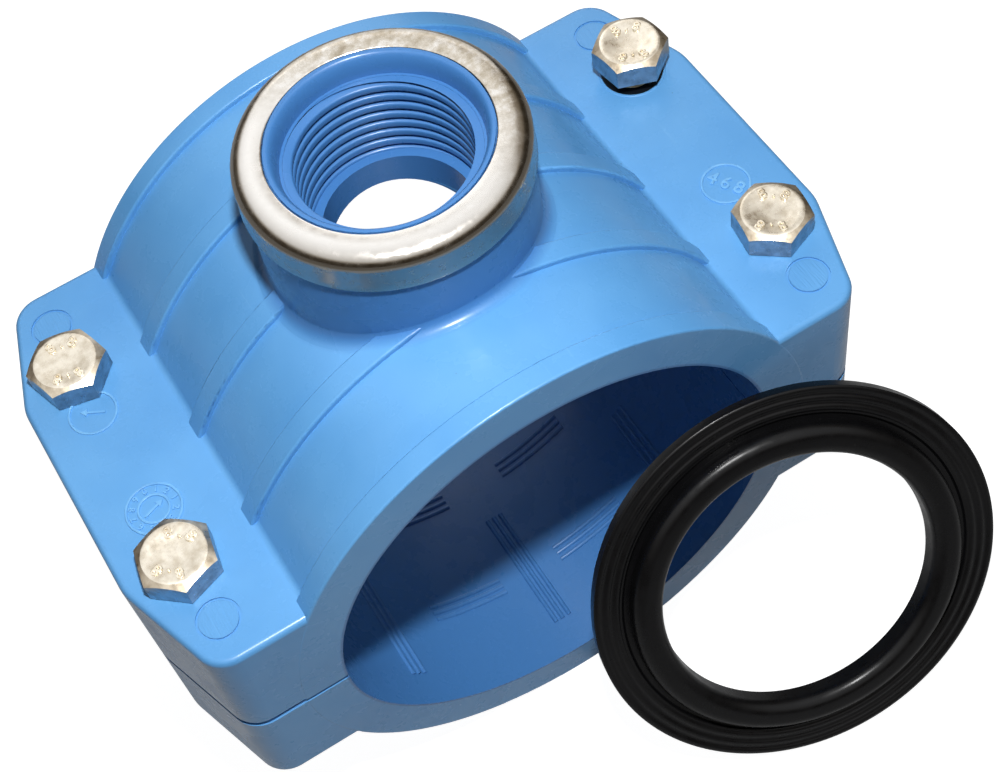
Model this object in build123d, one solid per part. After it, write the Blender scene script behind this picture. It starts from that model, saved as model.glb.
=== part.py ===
from build123d import *
import math
import os

# Tapping saddle for a 90 mm pipe with a 1 inch female branch.
# Frame: X across the bolt flanges, Y along the pipe, Z up through the branch.
# The origin is on the pipe's axis, halfway along the saddle. Millimetres.

# Pipe passage and saddle wall
PIPE_RADIUS = 45.0
PIPE_CLEARANCE = 0.1
SADDLE_LENGTH = 88.4
WALL = 7.6

# Raised bands round the outside of both halves
BAND_COUNT = 5
BAND_PITCH = 21.0
BAND_WIDTH = 4.4
BAND_HEIGHT = 1.1
BAND_ROUND = 0.45

# Where the halves meet
JOINT_DROP = 1.0
JOINT_GAP = 0.3
JOINT_EDGE = 0.35

# Bolt flanges
FLANGE_REACH = 71.6
FLANGE_TOP = 25.6
FLANGE_BOTTOM = -24.6
LONG_EDGE = 43.6
CORNER_INSET = 7.2
CORNER_ROUND = 6.0
BEND_ROUND = 10.0
FLANGE_EDGE = 1.2
END_STEP = 0.05
FOOT_ROUND = 1.8

# Moulded-in marks on the flanges, set in from the flanges' outer edges and ends
EJECTOR_INSET = 11.8
EJECTOR_END_INSET = 8.6
EJECTOR_RADIUS = 4.0
EJECTOR_GROOVE = 0.5
EJECTOR_DEPTH = 0.35

# Bolts and nuts, M8, set in from the flanges' outer edges
BOLT_INSET = 10.85
BOLT_SPACING = 46.6
SHANK_RADIUS = 3.95
SHANK_LENGTH = 50.0
TIP_CHAMFER = 0.8
HEX_ACROSS = 13.0
HEAD_HEIGHT = 5.3
HEAD_CHAMFER = 0.7
SCALLOP_ANGLE = 30.0
HOLE_CLEARANCE = 0.55
NUT_HEIGHT = 6.5
NUT_CLEARANCE = 0.1
THREAD_CLEARANCE = 0.1
NUT_RECESS = 0.9
LOOSE_BOLT_LIFT = 3.1
HEAD_TURNS = {"front_left": 19.0, "back_left": 47.0, "front_right": 21.0, "back_right": 38.0}

# Ribbed hollows under the lower flanges
CORE_WALL = 3.0
CORE_RIB = 2.2
CORE_LENGTH = 12.6
CORE_DEPTH = 15.0
CORE_ROUND = 1.2

# Branch boss and its bore
BRANCH_RADIUS = 16.65
BRANCH_LENGTH = 17.4
PASSAGE_RADIUS = 13.5
BOSS_RADIUS = 24.3
SHELF_DEPTH = 4.2
SHELF_RADIUS = 17.2
MOUTH_RADIUS = 18.1
MOUTH_DEPTH = 1.7
LIP_ROUND = 0.4

# Reinforcing ring, pressed from sheet
RING_TOP = 72.6
RING_SHEET = 0.8
RING_OUTER = 24.9
RING_INNER = 19.15
RING_HEIGHT = 7.7
RING_ROLL = 2.2
RING_EASE = 0.06
LIP_EASE = 0.15

# Gasket and its seat inside the upper half
GASKET_OUTER = 40.0
GASKET_INNER = 27.0
GASKET_SHEET = 2.2
BEAD_WIDTH = 6.0
BEAD_HEIGHT = 5.0
BEAD_ROUND = 2.3
GROOVE_WIDTH = 1.3
GROOVE_DEPTH = 0.6
RIDGE_COUNT = 3
RIDGE_RADIUS = 0.4
SEAT_DEPTH = 2.6
SEAT_CLEARANCE = 0.3

# Where the gasket stands, taken out and leaned towards the saddle's front
GASKET_X = 36.7
GASKET_TILT = 28.9
GASKET_TURN = 10.6
GASKET_STANDOFF = 0.1


BORE_RADIUS = PIPE_RADIUS + PIPE_CLEARANCE
BASE_RADIUS = BORE_RADIUS + WALL
BAND_RADIUS = BASE_RADIUS + BAND_HEIGHT
HALF_LENGTH = SADDLE_LENGTH / 2
FLANGE_END = HALF_LENGTH - END_STEP
BOLT_X = FLANGE_REACH - BOLT_INSET
BOLT_Y = BOLT_SPACING / 2
EJECTOR_X = FLANGE_REACH - EJECTOR_INSET
EJECTOR_Y = HALF_LENGTH - EJECTOR_END_INSET
UPPER_FACE = -JOINT_DROP + JOINT_GAP / 2
LOWER_FACE = -JOINT_DROP - JOINT_GAP / 2
HOLE_RADIUS = SHANK_RADIUS + HOLE_CLEARANCE
NUT_SEAT = FLANGE_BOTTOM + NUT_RECESS + NUT_HEIGHT
SHELF_TOP = RING_TOP - SHELF_DEPTH
SHOULDER = SHELF_TOP - BRANCH_LENGTH
RIM_CENTRE = HALF_LENGTH - BAND_WIDTH / 2

# How far apart two places may be and still be taken as one
SAME_PLACE = 0.01

# How far a cutting shape runs past the face that it opens
OVERRUN = 1.0


def corner_names():
    """The four bolt places as (name, side in X, end in Y)."""
    for end, y_word in ((-1, "front"), (1, "back")):
        for side, x_word in ((-1, "left"), (1, "right")):
            yield f"{y_word}_{x_word}", side, end


def at_bolts(shape):
    """Copies of a shape at the four bolt places."""
    spots = [Pos(side * BOLT_X, end * BOLT_Y, 0) for _, side, end in corner_names()]
    return [spot * shape for spot in spots]


def band_places():
    """Where the raised bands lie along Y, the end ones flush with the saddle's ends."""
    middle = (BAND_COUNT - 1) / 2
    inner = [(index - middle) * BAND_PITCH for index in range(1, BAND_COUNT - 1)]
    return [-RIM_CENTRE, *inner, RIM_CENTRE]


def ring_about_pipe(inner, outer, width, round_radius=0.0):
    """A hoop about the pipe's axis, centred on the origin, its outer corners rounded."""
    profile = Pos((inner + outer) / 2, 0) * Rectangle(outer - inner, width)
    if round_radius > 0:
        profile = fillet(profile.vertices().sort_by(Axis.X)[-2:], round_radius)
    return revolve(profile, Axis.Y)


def saddle_tube():
    """The whole tube that both halves are cut from: wall, bands and rounded ends."""
    tube = ring_about_pipe(BORE_RADIUS, BASE_RADIUS, SADDLE_LENGTH - BAND_WIDTH)
    for place in band_places():
        hoop = ring_about_pipe(BORE_RADIUS, BAND_RADIUS, BAND_WIDTH, BAND_ROUND)
        tube += Pos(0, place, 0) * hoop
    return tube


def flange_outline(inset=0.0):
    """The plan of a half: a rectangle whose corners run in to the flanges' ends."""
    reach = FLANGE_REACH - inset
    end = FLANGE_END - inset
    bend = LONG_EDGE / 2
    corner = FLANGE_REACH - CORNER_INSET - inset
    quarter = [(reach, bend), (corner, end)]
    right = quarter + [(-x, y) for x, y in reversed(quarter)]
    points = right + [(-x, -y) for x, y in right]
    outline = make_face(Polyline(*points, close=True))
    outline = fillet(outline.vertices().filter_by(lambda v: abs(v.Y) > bend + SAME_PLACE), CORNER_ROUND)
    bends = outline.vertices().filter_by(lambda v: abs(abs(v.X) - reach) < SAME_PLACE)
    return fillet(bends, BEND_ROUND)


def flanged_body(level):
    """The pipe's round and its bolt flanges as one solid, the flanges' faces at a level."""
    section = Circle(BASE_RADIUS)
    section += Pos(0, level / 2) * Rectangle(2 * FLANGE_REACH, abs(level))
    corners = section.vertices().filter_by(lambda v: abs(v.Y - level) < SAME_PLACE)
    section = fillet(corners.sort_by(Axis.X)[1:3], FOOT_ROUND)
    body = extrude(Plane.XZ * section, FLANGE_END, both=True)
    plan = Pos(0, 0, -FLANGE_REACH) * extrude(flange_outline(), 2 * FLANGE_REACH)
    return body & plan


def flange_edges(body, level):
    """The outer edges of the flanges' faces at a level."""
    near_side = FLANGE_REACH - CORNER_INSET - FOOT_ROUND

    def is_outer(edge):
        place = edge.center()
        at_end = abs(abs(place.Y) - FLANGE_END) < SAME_PLACE
        return abs(place.Z - level) < SAME_PLACE and (abs(place.X) > near_side or at_end)

    return body.edges().filter_by(is_outer)


def half_shell(level, joint, above):
    """One half without its holes: flanges rounded at a level, wall and bands added."""
    body = flanged_body(level) & half_space(joint, above)
    body = fillet(flange_edges(body, level), FLANGE_EDGE)
    return body + (saddle_tube() & half_space(joint, above))


def half_space(level, above):
    """A block that covers everything above or below a level."""
    size = 4 * FLANGE_REACH
    offset = size / 2 if above else -size / 2
    return Pos(0, 0, level + offset) * Box(size, size, size)


def joint_edge(face, above):
    """The narrow step along the joint that leaves a dark line between the halves."""
    band = extrude(flange_outline(-OVERRUN) - flange_outline(JOINT_EDGE), JOINT_EDGE)
    return Pos(0, 0, face if above else face - JOINT_EDGE) * band


def ejector_marks(level, depth):
    """The four shallow circles that ejector pins leave on a flange face."""
    ring = Circle(EJECTOR_RADIUS) - Circle(EJECTOR_RADIUS - EJECTOR_GROOVE)
    mark = Pos(0, 0, level - depth) * extrude(ring, 2 * depth)
    return [Pos(side * EJECTOR_X, end * EJECTOR_Y, 0) * mark for _, side, end in corner_names()]


def branch_profile():
    """Half section of the branch's bore, from the mouth down into the pipe's passage."""
    points = [
        (0, 0),
        (PASSAGE_RADIUS, 0),
        (PASSAGE_RADIUS, SHOULDER),
        (BRANCH_RADIUS, SHOULDER),
        (BRANCH_RADIUS, SHELF_TOP),
        (SHELF_RADIUS, SHELF_TOP),
        (MOUTH_RADIUS - LIP_ROUND, RING_TOP - MOUTH_DEPTH),
        (MOUTH_RADIUS, RING_TOP - LIP_ROUND),
        (MOUTH_RADIUS + LIP_ROUND, RING_TOP),
        (MOUTH_RADIUS + LIP_ROUND, RING_TOP + OVERRUN),
        (0, RING_TOP + OVERRUN),
    ]
    return make_face(Plane.XZ * Polyline(*points, close=True))


def boss():
    """The round boss, its neck inside the ring and the collar that fills the ring's hole."""
    body = extrude(Circle(BOSS_RADIUS), RING_TOP - RING_HEIGHT - LIP_EASE)
    neck = extrude(Circle(RING_OUTER - RING_SHEET - RING_EASE), RING_TOP - RING_SHEET)
    neck = fillet(neck.edges().sort_by(Axis.Z)[-1], RING_ROLL - RING_SHEET)
    collar = extrude(Circle(RING_INNER - LIP_EASE), RING_TOP)
    return body + neck + collar


def gasket_seat():
    """The groove in the bore that the gasket beds into, round the branch."""
    deep = Rot(90, 0, 0) * Cylinder(BORE_RADIUS + SEAT_DEPTH, SADDLE_LENGTH)
    plan = seat_plan(GASKET_OUTER + SEAT_CLEARANCE) - seat_plan(GASKET_INNER - SEAT_CLEARANCE)
    return deep & extrude(plan, RING_TOP)


def seat_plan(radius):
    """How a circle laid on the pipe looks from above."""
    across = PIPE_RADIUS * math.sin(radius / PIPE_RADIUS)
    return Ellipse(across, radius)


def upper_half():
    """The upper shell with its flanges, boss, branch bore and gasket seat."""
    shell = half_shell(FLANGE_TOP, UPPER_FACE, above=True) + boss()
    shell -= Rot(90, 0, 0) * Cylinder(BORE_RADIUS, SADDLE_LENGTH + 2 * OVERRUN)
    shell -= revolve(branch_profile(), Axis.Z)
    shell -= gasket_seat()
    shell -= joint_edge(UPPER_FACE, above=True)
    shell -= at_bolts(Cylinder(HOLE_RADIUS, 3 * FLANGE_TOP))
    return shell - ejector_marks(FLANGE_TOP, EJECTOR_DEPTH)


def flange_cores():
    """The ribbed hollows moulded into the underside of the lower flanges."""
    inner = math.sqrt(BAND_RADIUS**2 - FLANGE_BOTTOM**2) + CORE_WALL
    width = (FLANGE_REACH - CORE_WALL - inner - CORE_RIB) / 2
    pocket = extrude(RectangleRounded(width, CORE_LENGTH, CORE_ROUND), CORE_DEPTH)
    cores = []
    for x in (inner + width / 2, inner + CORE_RIB + 1.5 * width):
        for side in (-1, 1):
            for end in (-1, 1):
                place = Pos(side * x, end * (CORE_RIB + CORE_LENGTH) / 2, FLANGE_BOTTOM)
                cores.append(place * pocket)
    return cores


def lower_half():
    """The lower shell with its flanges, nut pockets and hollows."""
    shell = half_shell(FLANGE_BOTTOM, LOWER_FACE, above=False)
    shell -= Rot(90, 0, 0) * Cylinder(BORE_RADIUS, SADDLE_LENGTH + 2 * OVERRUN)
    shell -= joint_edge(LOWER_FACE, above=False)
    shell -= at_bolts(Cylinder(HOLE_RADIUS, 3 * FLANGE_TOP))
    pocket = hexagon_prism(HEX_ACROSS + 2 * NUT_CLEARANCE, NUT_SEAT - FLANGE_BOTTOM + OVERRUN)
    shell -= at_bolts(Pos(0, 0, FLANGE_BOTTOM - OVERRUN) * pocket)
    return shell - flange_cores()


def hexagon_prism(across, height):
    """A hexagonal prism on the XY plane, with two flats facing along Y."""
    return extrude(RegularPolygon(across / 2, 6, major_radius=False), height)


def hex_head():
    """A bolt's head, its top corners turned down to the usual round chamfer."""
    head = hexagon_prism(HEX_ACROSS, HEAD_HEIGHT)
    tip = HEX_ACROSS / 2 - HEAD_CHAMFER
    rise = math.tan(math.radians(SCALLOP_ANGLE))
    base = tip + HEAD_HEIGHT / rise
    cone = Cone(base, tip, HEAD_HEIGHT, align=(Align.CENTER, Align.CENTER, Align.MIN))
    return head & cone


def bolt():
    """An M8 bolt with the underside of its head on the XY plane."""
    shank = extrude(Circle(SHANK_RADIUS), -SHANK_LENGTH)
    shank = chamfer(shank.edges().sort_by(Axis.Z)[0], TIP_CHAMFER)
    return hex_head() + shank


def nut():
    """An M8 nut with its top face on the XY plane."""
    body = Pos(0, 0, -NUT_HEIGHT) * hexagon_prism(HEX_ACROSS, NUT_HEIGHT)
    return body - Cylinder(SHANK_RADIUS + THREAD_CLEARANCE, 3 * NUT_HEIGHT)


def reinforcing_ring():
    """The pressed ring: flat top, rolled outer edge and a short skirt."""
    profile = Pos((RING_OUTER + RING_INNER) / 2, -RING_HEIGHT / 2) * Rectangle(
        RING_OUTER - RING_INNER, RING_HEIGHT
    )
    inside = Pos(0, -RING_SHEET) * profile
    inside = Pos(-RING_SHEET, 0) * inside
    top_corner = profile.vertices().sort_by(Axis.X)[-2:].sort_by(Axis.Y)[-1]
    profile = fillet(top_corner, RING_ROLL)
    inner_corner = inside.vertices().sort_by(Axis.X)[-2:].sort_by(Axis.Y)[-1]
    inside = fillet(inner_corner, RING_ROLL - RING_SHEET)
    sheet = Plane.XZ * (profile - inside)
    return Pos(0, 0, RING_TOP) * revolve(sheet, Axis.Z)


def gasket():
    """The rubber ring: a thin ridged flange outside and a rounded bead inside."""
    flange = Pos((GASKET_OUTER + GASKET_INNER) / 2, GASKET_SHEET / 2) * Rectangle(
        GASKET_OUTER - GASKET_INNER, GASKET_SHEET
    )
    bead = Pos(GASKET_INNER + BEAD_WIDTH / 2, BEAD_HEIGHT / 2) * RectangleRounded(
        BEAD_WIDTH, BEAD_HEIGHT, BEAD_ROUND
    )
    groove_place = GASKET_INNER + BEAD_WIDTH + GROOVE_WIDTH / 2
    groove = Pos(groove_place, GASKET_SHEET) * Rectangle(GROOVE_WIDTH, 2 * GROOVE_DEPTH)
    profile = flange + bead - groove
    room = GASKET_OUTER - groove_place - GROOVE_WIDTH / 2
    for index in range(RIDGE_COUNT):
        place = GASKET_OUTER - (index + 0.5) * room / RIDGE_COUNT
        profile += Pos(place, GASKET_SHEET) * Circle(RIDGE_RADIUS)
    return revolve(Plane.XZ * profile, Axis.Z)


def leaning(shape):
    """Stands the gasket on its edge in front of the saddle and leans its top on it."""
    tilt = math.radians(GASKET_TILT)
    turn = math.radians(GASKET_TURN)
    flat = math.cos(tilt)
    facing = (-math.sin(turn) * flat, -math.cos(turn) * flat, math.sin(tilt))
    height = -BAND_RADIUS + GASKET_OUTER * flat
    reach = GASKET_OUTER * math.sqrt(1 - facing[1] ** 2)
    centre = (GASKET_X, -HALF_LENGTH - reach - GASKET_STANDOFF, height)
    return Plane(origin=centre, z_dir=facing) * shape


def save(shape, name):
    """Writes one node's solid."""
    export_step(shape, f"parts/{name}.step")


os.makedirs("parts", exist_ok=True)
save(upper_half(), "upper_half")
save(lower_half(), "lower_half")
save(reinforcing_ring(), "reinforcing_ring")
save(leaning(gasket()), "gasket")
for name, side, end in corner_names():
    lift = LOOSE_BOLT_LIFT if name == "back_right" else 0
    turned = Rot(0, 0, HEAD_TURNS[name]) * bolt()
    save(Pos(side * BOLT_X, end * BOLT_Y, FLANGE_TOP + lift) * turned, f"bolt_{name}")
    save(Pos(side * BOLT_X, end * BOLT_Y, NUT_SEAT) * nut(), f"nut_{name}")
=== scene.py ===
import logging
import math
from collections.abc import Callable, Iterator
from dataclasses import dataclass
from enum import Enum

import bmesh
import bpy
from mathutils import Matrix, Vector


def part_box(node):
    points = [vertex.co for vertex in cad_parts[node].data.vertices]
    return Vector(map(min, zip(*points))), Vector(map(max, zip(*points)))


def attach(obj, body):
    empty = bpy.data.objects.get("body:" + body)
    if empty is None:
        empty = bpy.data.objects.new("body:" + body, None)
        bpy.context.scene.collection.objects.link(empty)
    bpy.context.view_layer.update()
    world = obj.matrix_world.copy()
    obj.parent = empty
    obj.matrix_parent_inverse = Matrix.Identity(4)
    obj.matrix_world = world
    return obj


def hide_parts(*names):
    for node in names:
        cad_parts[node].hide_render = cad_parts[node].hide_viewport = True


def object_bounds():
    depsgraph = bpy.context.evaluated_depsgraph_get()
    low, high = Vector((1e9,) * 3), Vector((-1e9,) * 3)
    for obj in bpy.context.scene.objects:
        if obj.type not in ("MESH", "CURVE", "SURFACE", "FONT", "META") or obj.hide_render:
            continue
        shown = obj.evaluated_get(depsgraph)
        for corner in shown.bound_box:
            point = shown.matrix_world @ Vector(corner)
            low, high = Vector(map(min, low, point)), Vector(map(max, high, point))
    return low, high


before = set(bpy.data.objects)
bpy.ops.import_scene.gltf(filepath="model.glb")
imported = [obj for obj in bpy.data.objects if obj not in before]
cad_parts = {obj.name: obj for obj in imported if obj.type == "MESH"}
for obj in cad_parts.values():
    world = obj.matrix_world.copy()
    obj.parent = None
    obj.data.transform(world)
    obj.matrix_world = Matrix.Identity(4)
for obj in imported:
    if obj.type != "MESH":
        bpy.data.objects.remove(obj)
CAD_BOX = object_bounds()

LOG = logging.getLogger("tapping_saddle")
MM = 0.001
FULL_TURN = 2 * math.pi
FLANGE_TOP = 25.6
Colour = tuple[float, float, float]
Point = tuple[float, float, float]
Band = tuple[float, float]
Vert, Edge, Face = bmesh.types.BMVert, bmesh.types.BMEdge, bmesh.types.BMFace
Socket, Material, Piece = bpy.types.NodeSocket, bpy.types.Material, bpy.types.Object


class Slot(Enum):
    """Material slots of the record."""

    PLASTIC = "saddle_plastic"
    RING = "ring_steel"
    BOLT = "bolt_steel"
    RUBBER = "rubber"


class Body(Enum):
    """The rigid bodies that pieces ride on."""

    LOWER = "lower"
    UPPER = "upper"


class Corner(Enum):
    """The four bolt places, each with the turn of its head in degrees."""

    FRONT_LEFT = 19.0
    BACK_LEFT = 47.0
    FRONT_RIGHT = 21.0
    BACK_RIGHT = 38.0

    @property
    def label(self) -> str:
        """The corner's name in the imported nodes."""
        return self.name.lower()


def turned(degrees: float, axis: str = "Z") -> Matrix:
    """The turn by some degrees about an axis through the origin."""
    return Matrix.Rotation(math.radians(degrees), 4, axis)


def moved(x: float = 0.0, y: float = 0.0, z: float = 0.0) -> Matrix:
    """The move by some millimetres."""
    return Matrix.Translation((x * MM, y * MM, z * MM))


def quarter(bends: int) -> list[float]:
    """Even steps from 0 to 90 degrees, in radians."""
    return [math.radians(90 * index / bends) for index in range(bends + 1)]


def verts_of(geom: list) -> list[Vert]:
    """The vertices in an operator's result."""
    return [item for item in geom if isinstance(item, Vert)]


def from_axis(face: Face) -> float:
    """How far a face's middle is from the Z axis, in millimetres."""
    middle = face.calc_center_median()
    return math.hypot(middle.x, middle.y) / MM


def compass(steps: int) -> Iterator[Band]:
    """Even directions all round.

    Args:
        steps: how many.

    Yields:
        The cosine and sine of each.
    """
    for index in range(steps):
        way = FULL_TURN * index / steps
        yield math.cos(way), math.sin(way)


class MeshBuilder:
    """A bmesh with the few steps that the saddle's own pieces share."""

    def __init__(self) -> None:
        """Starts empty, in metres."""
        self.bm = bmesh.new()

    def wire(self, points: list[Point], closed: bool = True) -> list[Vert]:
        """Lays a chain of edges.

        Args:
            points: corners in millimetres, in order.
            closed: whether the last joins the first.

        Returns:
            The chain's vertices.
        """
        verts = [self.bm.verts.new(Vector(p) * MM) for p in points]
        pairs = list(zip(verts, verts[1:]))
        if closed:
            pairs.append((verts[-1], verts[0]))
        for pair in pairs:
            self.bm.edges.new(pair)
        return verts

    def round_corners(self, verts: list[Vert], radius: float, steps: int) -> None:
        """Rounds corners of a wire.

        Args:
            verts: the corners.
            radius: how far the rounding reaches along each edge, in millimetres.
            steps: segments of each rounding.
        """
        bmesh.ops.bevel(
            self.bm, geom=verts, offset=radius * MM, offset_type="OFFSET", segments=steps,
            profile=0.5, affect="VERTICES", material=-1,
        )

    def spin(self, angle: float, steps: int, axis: Point = (0, 0, 1), rise: float = 0.0,
             merge: bool = False) -> None:
        """Sweeps the whole mesh about an axis through the origin.

        Args:
            angle: the sweep, in radians.
            steps: its segments.
            axis: the axis's direction.
            rise: what each step climbs, in millimetres.
            merge: whether the end meets the start.
        """
        bmesh.ops.spin(
            self.bm, geom=self.bm.verts[:] + self.bm.edges[:], cent=(0, 0, 0), axis=axis,
            dvec=(0, 0, rise * MM), angle=angle, steps=steps, use_merge=merge,
            use_duplicate=False,
        )
        self.clean()

    def lathe(self, steps: int) -> None:
        """Turns the wire a full turn about the Z axis."""
        self.spin(FULL_TURN, steps, merge=True)

    def screw(self, pitch: float, turns: float, steps: int) -> None:
        """Sweeps the wire up a helix of some pitch in millimetres, in steps for each turn."""
        self.spin(FULL_TURN * turns, round(turns * steps), rise=pitch / steps)

    def raise_faces(self, faces: list[Face], height: float) -> None:
        """Extrudes faces upwards.

        Args:
            faces: the faces.
            height: how far, in millimetres.
        """
        grown = bmesh.ops.extrude_face_region(self.bm, geom=faces)["geom"]
        self.move(moved(z=height), verts_of(grown))
        self.clean()

    def paint(self, index: int, test: Callable[[Face], bool]) -> None:
        """Gives the faces that pass a test a material index."""
        for face in filter(test, self.bm.faces):
            face.material_index = index

    def clean(self) -> None:
        """Merges doubles and turns all faces outwards."""
        bmesh.ops.remove_doubles(self.bm, verts=self.bm.verts[:], dist=2e-6)
        bmesh.ops.recalc_face_normals(self.bm, faces=self.bm.faces[:])

    def cut(self, point: Point, normal: Point) -> list[Edge]:
        """Cuts away what lies beyond a plane.

        Args:
            point: a point of the plane, in millimetres.
            normal: the side that is cut away.

        Returns:
            The new edges along the cut.
        """
        geom = self.bm.verts[:] + self.bm.edges[:] + self.bm.faces[:]
        made = bmesh.ops.bisect_plane(
            self.bm, geom=geom, dist=1e-7, plane_co=Vector(point) * MM, plane_no=normal,
            clear_outer=True,
        )
        return [e for e in made["geom_cut"] if isinstance(e, Edge)]

    def trim(self, point: Point, normal: Point) -> list[Face]:
        """Cuts beyond a plane and closes the cut.

        Args:
            point: a point of the plane, in millimetres.
            normal: the side that is cut away.

        Returns:
            The faces that close it.
        """
        edges = [e for e in self.cut(point, normal) if e.is_boundary]
        if not edges:
            return []
        return bmesh.ops.edgenet_fill(self.bm, edges=edges)["faces"]

    def close(self) -> None:
        """Fills every open loop."""
        bmesh.ops.holes_fill(self.bm, edges=[e for e in self.bm.edges if e.is_boundary], sides=0)

    def move(self, matrix: Matrix, verts: list[Vert] | None = None) -> None:
        """Applies a matrix in metres to some or all vertices."""
        bmesh.ops.transform(self.bm, matrix=matrix, verts=verts or self.bm.verts[:])

    def take(self, other: "MeshBuilder", matrix: Matrix | None = None) -> None:
        """Adds a copy of another builder's mesh.

        Args:
            other: where the copy comes from.
            matrix: the copy's place, in metres.
        """
        before = len(self.bm.verts)
        mesh = bpy.data.meshes.new("copy")
        other.bm.to_mesh(mesh)
        self.bm.from_mesh(mesh)
        if matrix:
            self.bm.verts.ensure_lookup_table()
            self.move(matrix, self.bm.verts[before:])
        bpy.data.meshes.remove(mesh)

    def piece(self, name: str, body: str, slot: Slot, *finishes: Material,
              crease: float = 0.6) -> Piece:
        """Makes the finished object.

        Args:
            name: the piece's name.
            body: the body that it rides on.
            slot: the record's material slot; not used.
            finishes: its materials, in order of index.
            crease: edges that bend more than this, in radians, stay sharp.

        Returns:
            The object, at the origin with its place in its mesh.
        """
        for face in self.bm.faces:
            face.smooth = True
        for edge in self.bm.edges:
            edge.smooth = edge.calc_face_angle(0.0) < crease
        mesh = bpy.data.meshes.new(name)
        self.bm.to_mesh(mesh)
        self.bm.free()
        made = bpy.data.objects.new(name, mesh)
        bpy.context.collection.objects.link(made)
        for finish in finishes:
            mesh.materials.append(finish)
        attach(made, body)
        LOG.info("%s: %d faces on %s", name, len(mesh.polygons), body)
        return made


@dataclass(frozen=True)
class Relief:
    """One layer of fine relief; its grain's width and depth are in millimetres."""

    size: float
    depth: float
    share: float
    octaves: float = 2.0
    fine: float = 0.5


class Nodes:
    """A node tree with short calls for adding and joining nodes."""

    def __init__(self, tree: bpy.types.NodeTree) -> None:
        """Takes the tree that is filled."""
        self.tree = tree

    def add(self, kind: str, settings: dict | None = None, **inputs: object) -> bpy.types.Node:
        """Adds a node.

        Args:
            kind: the node's type without its prefix.
            settings: its properties.
            inputs: values or sockets for inputs, by name with spaces as underscores.

        Returns:
            The node.
        """
        node = self.tree.nodes.new("ShaderNode" + kind)
        for key, value in (settings or {}).items():
            setattr(node, key, value)
        for key, value in inputs.items():
            self.set(node, key.replace("_", " "), value)
        return node

    def set(self, node: bpy.types.Node, key: str | int, value: object) -> None:
        """Sets an input to a value or joins it to a socket.

        Args:
            node: the node.
            key: the input's name or index.
            value: the value or the socket.
        """
        if isinstance(value, Socket):
            self.tree.links.new(value, node.inputs[key])
        else:
            node.inputs[key].default_value = value

    def span(self, value: Socket, band: Band, out: Band = (0.0, 1.0)) -> Socket:
        """Maps a range of a value onto another, clamped.

        Args:
            value: the socket that is read.
            band: the range's ends.
            out: the results at its ends.

        Returns:
            The mapped socket.
        """
        node = self.add("MapRange", {"clamp": True}, Value=value, From_Min=band[0],
                        From_Max=band[1], To_Min=out[0], To_Max=out[1])
        return node.outputs[0]

    def mix(self, amount: object, first: object, second: object) -> Socket:
        """Mixes two colours.

        Args:
            amount: share of the second, a number or a socket.
            first: a colour or a socket.
            second: a colour or a socket.

        Returns:
            The mixed colour's socket.
        """
        node = self.add("Mix", {"data_type": "RGBA"})
        self.set(node, 0, amount)
        self.set(node, 6, (*first, 1) if isinstance(first, tuple) else first)
        self.set(node, 7, (*second, 1) if isinstance(second, tuple) else second)
        return node.outputs[2]

    def reach(self, *lengths: Socket) -> Socket:
        """The length of the diagonal over two lengths."""
        squares = [self.maths("MULTIPLY", length, length) for length in lengths]
        return self.maths("SQRT", self.maths("ADD", *squares))

    def maths(self, operation: str, *values: object) -> Socket:
        """One step of arithmetic.

        Args:
            operation: the Math node's operation.
            values: numbers or sockets.

        Returns:
            The result's socket.
        """
        node = self.add("Math", {"operation": operation})
        for index, value in enumerate(values):
            self.set(node, index, value)
        return node.outputs[0]


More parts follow.
